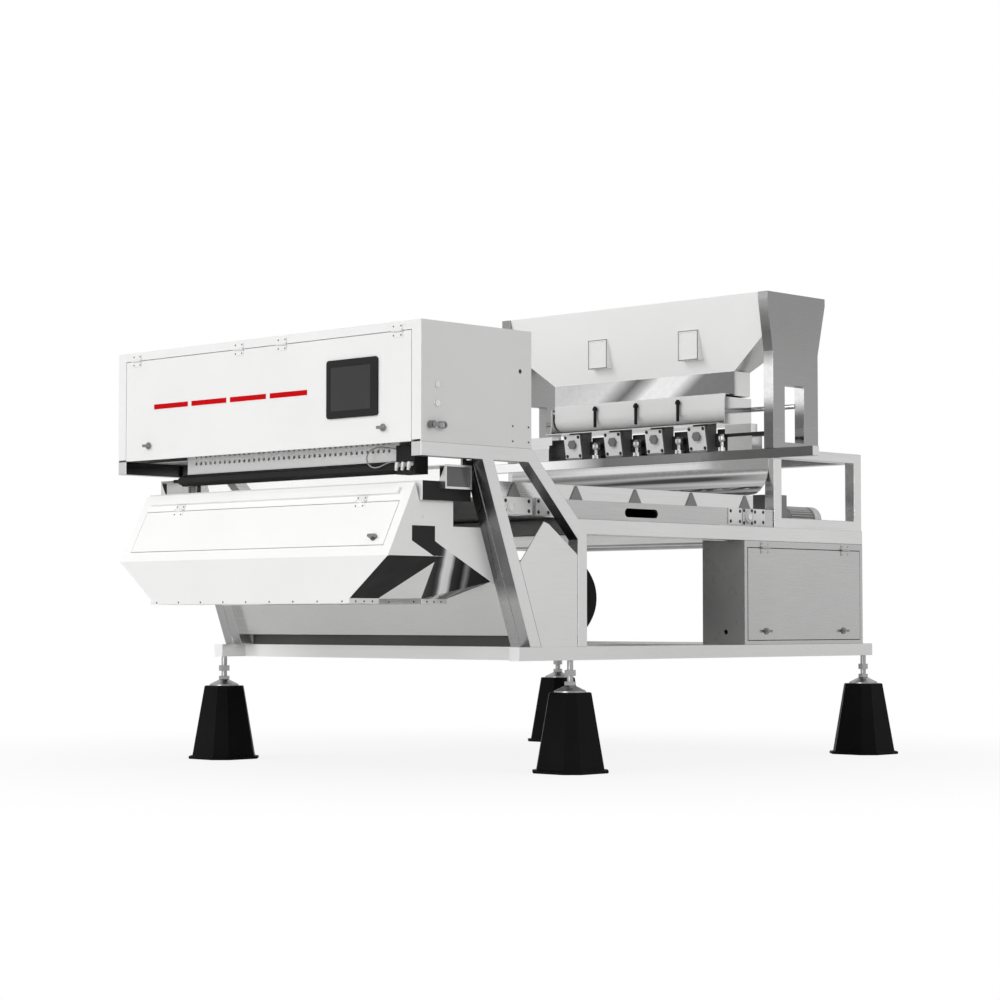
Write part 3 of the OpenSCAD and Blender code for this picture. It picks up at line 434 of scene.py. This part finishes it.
def piece(name, bm, material, body, smooth=40):
    """A mesh piece, smooth but for edges sharper than an angle."""
    mesh = bpy.data.meshes.new(name)
    bm.normal_update()
    bm.to_mesh(mesh)
    bm.free()
    mesh.materials.append(material)
    for poly in mesh.polygons:
        poly.use_smooth = True
    mesh.set_sharp_from_angle(angle=math.radians(smooth))
    return add(name, mesh, body)


def wire(name, points, radius, material, body):
    """A round wire or tube as one open curve."""
    data = bpy.data.curves.new(name, "CURVE")
    data.dimensions = "3D"
    data.bevel_depth = radius
    data.bevel_resolution = 3
    data.use_fill_caps = True
    spline = data.splines.new("POLY")
    spline.points.add(len(points) - 1)
    for point, p in zip(spline.points, points):
        point.co = (*p, 1)
    data.materials.append(material)
    return add(name, data, body)


def block(bm, size, where):
    """A box of a size, about a point."""
    verts = bmesh.ops.create_cube(bm, size=1.0)["verts"]
    bmesh.ops.scale(bm, vec=size, verts=verts)
    bmesh.ops.translate(bm, vec=where, verts=verts)
    return verts


def turned(bm, profile, matrix, steps=20):
    """A turned solid about local Z, from (radius, height) points."""
    rings = []
    for r, z in profile:
        if r < 1e-9:
            rings.append([bm.verts.new(matrix @ Vector((0, 0, z)))])
            continue
        ring = []
        for k in range(steps):
            a = 2 * math.pi * k / steps
            ring.append(bm.verts.new(matrix @ Vector((r * math.cos(a), r * math.sin(a), z))))
        rings.append(ring)
    for low, high in zip(rings, rings[1:]):
        for k in range(steps):
            n = (k + 1) % steps
            if len(low) == 1:
                bm.faces.new((low[0], high[n], high[k]))
            elif len(high) == 1:
                bm.faces.new((low[k], low[n], high[0]))
            else:
                bm.faces.new((low[k], low[n], high[n], high[k]))


def facing(where, direction):
    """A frame at a point whose Z runs along a direction."""
    turn = Vector((0, 0, 1)).rotation_difference(Vector(direction)).to_matrix().to_4x4()
    return Matrix.Translation(where) @ turn


def screws(bm, spots, direction, r=0.0035, h=0.0022):
    """Pan heads with a round recess."""
    profile = [(0, 0), (r, 0), (r, 0.4 * h), (0.8 * r, 0.85 * h), (0.45 * r, h), (0.4 * r, 0.55 * h),
               (0, 0.5 * h)]
    for spot in spots:
        turned(bm, profile, facing(spot, direction), 14)


def hex_bolts(bm, spots, direction, r, h):
    """Hexagon heads on round washers."""
    washer = [(0, 0), (1.5 * r, 0), (1.5 * r, 0.2 * h), (0, 0.2 * h)]
    head = [(0, 0.2 * h), (r, 0.2 * h), (r, 0.85 * h), (0.86 * r, h), (0, h)]
    for spot in spots:
        turned(bm, washer, facing(spot, direction), 20)
        turned(bm, head, facing(spot, direction), 6)


def smooth_route(points, steps=6):
    """A smooth line through points, with more points between them."""
    line = []
    ends = [2 * points[0] - points[1]] + list(points) + [2 * points[-1] - points[-2]]
    for a, b, c, d in zip(ends, ends[1:], ends[2:], ends[3:]):
        for k in range(steps):
            t = k / steps
            line.append(0.5 * (2 * b + (c - a) * t + (2 * a - 5 * b + 4 * c - d) * t * t
                               + (3 * b - a - 3 * c + d) * t ** 3))
    line.append(points[-1])
    return line


# The glass pane of the touch screen.
PANE_SIZE = (0.246, 0.0024, 0.185)
PANE_AT = at(583, -6.3, 1623)
bm = bmesh.new()
block(bm, PANE_SIZE, PANE_AT)
bmesh.ops.bevel(bm, geom=list(bm.edges), offset=0.0008, segments=2, affect="EDGES")
piece("display_glass", bm, DISPLAY, "head_door")

# Screws on the hinges and the head's sides. A hinge has one leaf above its pin and one below.
LEAF = (-22, 22)
LEAF_FACE = -3
HEAD_SCREWS = [x + s for x in (-862, -143, 143, 862) for s in LEAF]
HEAD_LEAVES = (1860, 1822)
HOOD_SCREWS = [x + s for x in (-600, 600) for s in LEAF]
HOOD_LEAVES = (-66, -104)
CABINET_SCREWS = [y + s for y in (2250, 2881) for s in LEAF]
CABINET_LEAVES = (1014, 976)
CABINET_FACE = 1003
HEAD_SIDE = 1000
HEAD_SIDE_Y = (537, 634)
HEAD_SIDE_Z = (1472, 1408)
HEAD_SIDE_SCREW = (0.004, 0.0025)

bm = bmesh.new()
screws(bm, [at(x, LEAF_FACE, HEAD_LEAVES[0]) for x in HEAD_SCREWS], FRONT)
screws(bm, [on_hood(x, LEAF_FACE, HOOD_LEAVES[0]) for x in HOOD_SCREWS], HOOD_OUT)
for side in SIDES:
    spots = [at(HEAD_SIDE * side, y, z) for y in HEAD_SIDE_Y for z in HEAD_SIDE_Z]
    screws(bm, spots, (side, 0, 0), *HEAD_SIDE_SCREW)
piece("frame_screws", bm, DARK_BOLT, "frame")

bm = bmesh.new()
screws(bm, [at(CABINET_FACE, y, CABINET_LEAVES[0]) for y in CABINET_SCREWS], RIGHT)
piece("cabinet_screws", bm, SHADE_STEEL, "frame")

bm = bmesh.new()
screws(bm, [at(x, LEAF_FACE, HEAD_LEAVES[1]) for x in HEAD_SCREWS], FRONT)
piece("head_door_screws", bm, DARK_BOLT, "head_door")

bm = bmesh.new()
screws(bm, [on_hood(x, LEAF_FACE, HOOD_LEAVES[1]) for x in HOOD_SCREWS], HOOD_OUT)
piece("hood_door_screws", bm, DARK_BOLT, "hood_door")

bm = bmesh.new()
screws(bm, [at(CABINET_FACE, y, CABINET_LEAVES[1]) for y in CABINET_SCREWS], RIGHT)
piece("cabinet_door_screws", bm, SHADE_STEEL, "cabinet_door")

# Rivets along the outlet lips.
RIVET = (0.004, 0.002)
LIP_Z = 734
LIP_X = [-612 + 153 * k for k in range(9)]
LIP_WALLS = ((-76, FRONT), (335, FRONT), (489, BACK))
LIP_END = 656
LIP_END_Y = (-40, 7, 54, 370, 412, 454)
bm = bmesh.new()
for x in LIP_X:
    for y, direction in LIP_WALLS:
        screws(bm, [at(x, y, LIP_Z)], direction, *RIVET)
for side in SIDES:
    screws(bm, [at(LIP_END * side, y, LIP_Z) for y in LIP_END_Y], (side, 0, 0), *RIVET)
piece("lip_rivets", bm, DARK_BOLT, "frame")

# Bolts of the drum bearings and of the plates beside them.
BEARING_BOLT = (0.0055, 0.004)
PLATE_X = 885
PLATE_Y = ((805, 895), (2128, 2226), (2312, 2403))
PLATE_INSET = 14
PLATE_Z = (1122, 1170)
BEARING_X = 887
BEARINGS = (((612, 756), (1124, 1166)), ((2241, 2300), (1116, 1174)))
bm = bmesh.new()
for side in SIDES:
    for y0, y1 in PLATE_Y:
        spots = [at(PLATE_X * side, y, z) for y in (y0 + PLATE_INSET, y1 - PLATE_INSET) for z in PLATE_Z]
        hex_bolts(bm, spots, (side, 0, 0), *BEARING_BOLT)
    for bolt_y, bolt_z in BEARINGS:
        spots = [at(BEARING_X * side, y, z) for y in bolt_y for z in bolt_z]
        hex_bolts(bm, spots, (side, 0, 0), *BEARING_BOLT)
piece("bearing_bolts", bm, DARK_BOLT, "frame")

# Corner bolts on the vibrator plates, in metres from a point in each plate.
VIBRATORS = 4
VIB_Y = 2489
VIB_Z = 1517
VIB_BOLT = (0.006, 0.005)
VIB_BOLT_X = (-0.044, 0.044)
VIB_BOLT_Y = -0.014
VIB_BOLT_Z = (-0.012, 0.085)
bm = bmesh.new()
for k in range(VIBRATORS):
    middle = at((k - (VIBRATORS - 1) / 2) * VIB_PITCH, VIB_Y, VIB_Z)
    tilted = Matrix.Translation(middle) @ Matrix.Rotation(VIB_TILT, 4, "X")
    spots = [tilted @ Vector((x, VIB_BOLT_Y, z)) for x in VIB_BOLT_X for z in VIB_BOLT_Z]
    hex_bolts(bm, spots, VIB_OUT, *VIB_BOLT)
piece("vibrator_bolts", bm, DARK_BOLT, "frame")

# Magnets between the vibrators: a laminated core in a wound coil, on the feeder beam.
MAGNETS = 5
MAGNET_Y = 2556
MAGNET_Z = 1484
CORE_SHEETS = 10
CORE_SHEET = (0.0105, 0.05, 0.112)
CORE_PITCH = 0.0118
COIL_TURNS = 7
COIL_TURN = (0.138, 0.062, 0.0085)
COIL_FOOT = 0.03
COIL_PITCH = 0.0095
bm = bmesh.new()
for k in range(MAGNETS):
    base = at((k - (MAGNETS - 1) / 2) * VIB_PITCH, MAGNET_Y, MAGNET_Z)
    for sheet in range(CORE_SHEETS):
        across = (sheet - (CORE_SHEETS - 1) / 2) * CORE_PITCH
        block(bm, CORE_SHEET, base + Vector((across, 0, CORE_SHEET[2] / 2)))
    for turn in range(COIL_TURNS):
        block(bm, COIL_TURN, base + Vector((0, 0, COIL_FOOT + COIL_PITCH * turn)))
piece("feeder_magnets", bm, COIL, "frame")

# Dark seals round the hopper's sight windows.
WINDOW_W = 0.126
WINDOW_H = 0.148
SEAL = 0.004
SEAL_BARS = ((0, WINDOW_W, 0, SEAL), (0, WINDOW_W, WINDOW_H - SEAL, WINDOW_H), (0, SEAL, 0, WINDOW_H),
             (WINDOW_W - SEAL, WINDOW_W, 0, WINDOW_H))
low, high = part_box("sight_windows")
bm = bmesh.new()
for x0 in (low.x, high.x - WINDOW_W):
    for x1, x2, z1, z2 in SEAL_BARS:
        block(bm, (x2 - x1, SEAL / 2, z2 - z1), (x0 + (x1 + x2) / 2, low.y, low.z + (z1 + z2) / 2))
piece("window_seals", bm, MATERIALS["grey_paint"], "frame")

# Push-in air fittings on the valve block: a socket, and an elbow that hangs from it.
FITTING_X = (751, 787, 823)
FITTING_Z = 1302
SOCKET_Y = 120
SOCKET = ((0, 0), (0.0095, 0), (0.0095, 0.012), (0.008, 0.014), (0.008, 0.022), (0, 0.023))
ELBOW_Y = 104
ELBOW = ((0, -0.009), (0.0075, -0.009), (0.0085, -0.006), (0.0085, 0.016), (0.0065, 0.018), (0.0065, 0.026),
         (0.0035, 0.027), (0, 0.02))
ELBOW_DOWN = (-0.25, 0, -0.97)
bm = bmesh.new()
for x in FITTING_X:
    turned(bm, SOCKET, facing(at(x, SOCKET_Y, FITTING_Z), FRONT), 18)
    turned(bm, ELBOW, facing(at(x, ELBOW_Y, FITTING_Z), ELBOW_DOWN), 18)
piece("air_fittings", bm, FITTING, "frame")

# The air tube that loops from the valve block and back to it.
TUBE_D = 0.006
TUBE_ROUTE = ((728, 150, 1368), (700, 148, 1371), (662, 140, 1376), (625, 130, 1380), (588, 124, 1376),
              (560, 122, 1362), (547, 122, 1340), (552, 122, 1318), (568, 123, 1303), (590, 125, 1296),
              (612, 128, 1297), (634, 132, 1304), (656, 136, 1312), (680, 138, 1316), (704, 140, 1316),
              (728, 142, 1314))
route = smooth_route([at(*p) for p in TUBE_ROUTE])
tube = wire("air_tube", route, TUBE_D / 2, AIR_TUBE, "frame")

# Bent locking pin on the divider.
PIN_R = 0.0025
PIN = ((872, 124, 1040), (872, 124, 1060), (874, 123, 1070), (880, 122, 1078), (888, 121, 1082))
wire("divider_pin", smooth_route([at(*p) for p in PIN], 4), PIN_R, bright, "frame")

# Threads on the levelling studs, below and above the lock nuts.
THREADS = ((0.047, 0.069), (0.097, 0.137))
THREAD_PITCH = 0.003
THREAD_ROOT = 0.0129
THREAD_CREST = 0.0136
for label in ("front_left", "front_right", "rear_left", "rear_right"):
    low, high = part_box("foot_" + label)
    middle = (low + high) / 2
    bm = bmesh.new()
    for z0, z1 in THREADS:
        foot = low.z + z0
        profile = [(THREAD_ROOT, foot)]
        for k in range(int((z1 - z0) / THREAD_PITCH)):
            profile.append((THREAD_CREST, foot + (k + 0.5) * THREAD_PITCH))
            profile.append((THREAD_ROOT, foot + (k + 1) * THREAD_PITCH))
        turned(bm, profile, Matrix.Translation((middle.x, middle.y, 0)), 28)
    piece("stud_thread_" + label, bm, SHADE_STEEL, "foot_" + label, 60)

# Cooling ribs and fan cowl of the drive motor.
MOTOR = at(752, 2677, 1154)
RIBS = 28
RIB_SIZE = (0.0022, 0.17, 0.009)
RIB_Y = 0.12
RIB_R = 0.057
COWL = ((0.0545, 0.222), (0.061, 0.222), (0.0625, 0.226), (0.0625, 0.268), (0.058, 0.277), (0.05, 0.279),
        (0.048, 0.277), (0.042, 0.277), (0.04, 0.279), (0.033, 0.279), (0.031, 0.277), (0.024, 0.277),
        (0.022, 0.279), (0, 0.279))
bm = bmesh.new()
for k in range(RIBS):
    rib = block(bm, RIB_SIZE, (0, RIB_Y, RIB_R))
    place = Matrix.Translation(MOTOR) @ Matrix.Rotation(2 * math.pi * k / RIBS, 4, "Y")
    bmesh.ops.transform(bm, matrix=place, verts=rib)
turned(bm, COWL, facing(MOTOR, BACK), 40)
piece("motor_ribs", bm, MATERIALS["cast_grey"], "frame")

# The camera of the photograph.
scene.view_settings.view_transform = "Standard"
cam_data = bpy.data.cameras.new("camera")
cam_data.sensor_width = 36
cam_data.sensor_fit = "HORIZONTAL"
cam_data.lens = 89.1
cam_data.clip_end = 200
cam = bpy.data.objects.new("camera", cam_data)
cam.location = (8.1716, -8.5483, 0.6566)
cam.rotation_euler = (math.radians(92.778), 0, math.radians(43.951))
scene.collection.objects.link(cam)
scene.camera = cam

# Lamps: name, place, width in metres and power in watts. All point near the middle of the part.
LAMPS = (
    ("key", (-6.0, -18.0, 12.0), 12.0, 1350),
    ("front", (3.0, -22.0, 2.2), 10.0, 1280),
    ("side", (18.0, 2.0, 9.0), 10.0, 680),
)
TARGET = Vector((0, 0, 1.0))
for name, where, size, power in LAMPS:
    data = bpy.data.lights.new(name, "AREA")
    data.shape = "DISK"
    data.size = size
    data.energy = power
    lamp = bpy.data.objects.new(name, data)
    lamp.location = where
    lamp.rotation_euler = (TARGET - Vector(where)).to_track_quat("-Z", "Y").to_euler()
    scene.collection.objects.link(lamp)


def shine(tree, path):
    """1 for a ray that metal or glass sends on."""
    return maths(tree, "MAXIMUM", path.outputs["Is Glossy Ray"], path.outputs["Is Transmission Ray"])


def mixed(tree, factor, *colours):
    """A mix of two colours, each a socket or a grey level."""
    node = tree.nodes.new("ShaderNodeMix")
    node.data_type = "RGBA"
    tree.links.new(factor, node.inputs["Factor"])
    sockets = [socket for socket in node.inputs if socket.type == "RGBA"]
    for socket, colour in zip(sockets, colours):
        if isinstance(colour, float):
            socket.default_value = (colour, colour, colour, 1)
        else:
            tree.links.new(colour, socket)
    return [socket for socket in node.outputs if socket.type == "RGBA"][0]


# Matt surfaces get an even level. Metal sees a white room with a darker strip above the horizon.
SKY = ((-0.1, 1.0), (0.1, 1.0), (0.17, 0.3), (0.32, 0.3), (0.42, 1.0), (0.7, 0.75), (1.0, 0.9))
MATT_LEVEL = 0.52
WHITE = 1.0
world = bpy.data.worlds.new("studio")
scene.world = world
world.use_nodes = True
sky = world.node_tree
direction = sky.nodes.new("ShaderNodeTexCoord")
split = sky.nodes.new("ShaderNodeSeparateXYZ")
sky.links.new(direction.outputs["Generated"], split.inputs["Vector"])
path = sky.nodes.new("ShaderNodeLightPath")
lit = mixed(sky, shine(sky, path), MATT_LEVEL, ramp(sky, split.outputs["Z"], SKY))
shown = mixed(sky, path.outputs["Is Camera Ray"], lit, WHITE)
sky.links.new(shown, sky.nodes["Background"].inputs["Color"])

# A pale floor that fades to white away from the part. Metal and glass see a share of that white too.
FLOOR_HALF = 30
FLOOR_SHINE = 0.25
FADE_FROM = 1.2
FADE_TO = 4.0
FADE_LOW = 0.86
floor_mesh = bpy.data.meshes.new("floor")
corners = [(x * FLOOR_HALF, y * FLOOR_HALF, 0) for x, y in ((-1, -1), (1, -1), (1, 1), (-1, 1))]
floor_mesh.from_pydata(corners, [], [(0, 1, 2, 3)])
floor = bpy.data.objects.new("floor", floor_mesh)
scene.collection.objects.link(floor)
fm, ft, fb = start("floor")
ft.links.new(tint(ft, noise(ft, 0.8), grey(0.76), grey(0.78)), fb.inputs["Base Color"])
fb.inputs["Roughness"].default_value = 0.9
fb.inputs["Specular IOR Level"].default_value = 0.0
spot = ft.nodes.new("ShaderNodeTexCoord")
far = ft.nodes.new("ShaderNodeVectorMath")
far.operation = "LENGTH"
ft.links.new(spot.outputs["Object"], far.inputs[0])
fade = ft.nodes.new("ShaderNodeMapRange")
fade.interpolation_type = "SMOOTHSTEP"
fade.inputs["From Min"].default_value = FADE_FROM
fade.inputs["From Max"].default_value = FADE_TO
fade.inputs["To Min"].default_value = FADE_LOW
ft.links.new(far.outputs["Value"], fade.inputs["Value"])
path = ft.nodes.new("ShaderNodeLightPath")
in_metal = maths(ft, "MULTIPLY", shine(ft, path), FLOOR_SHINE)
direct = maths(ft, "MAXIMUM", path.outputs["Is Camera Ray"], in_metal)
mix = ft.nodes.new("ShaderNodeMixShader")
ft.links.new(maths(ft, "MULTIPLY", direct, fade.outputs["Result"]), mix.inputs["Fac"])
ft.links.new(fb.outputs["BSDF"], mix.inputs[1])
ft.links.new(ft.nodes.new("ShaderNodeEmission").outputs["Emission"], mix.inputs[2])
ft.links.new(mix.outputs["Shader"], ft.nodes["Material Output"].inputs["Surface"])
floor_mesh.materials.append(fm)

bpy.context.view_layer.update()
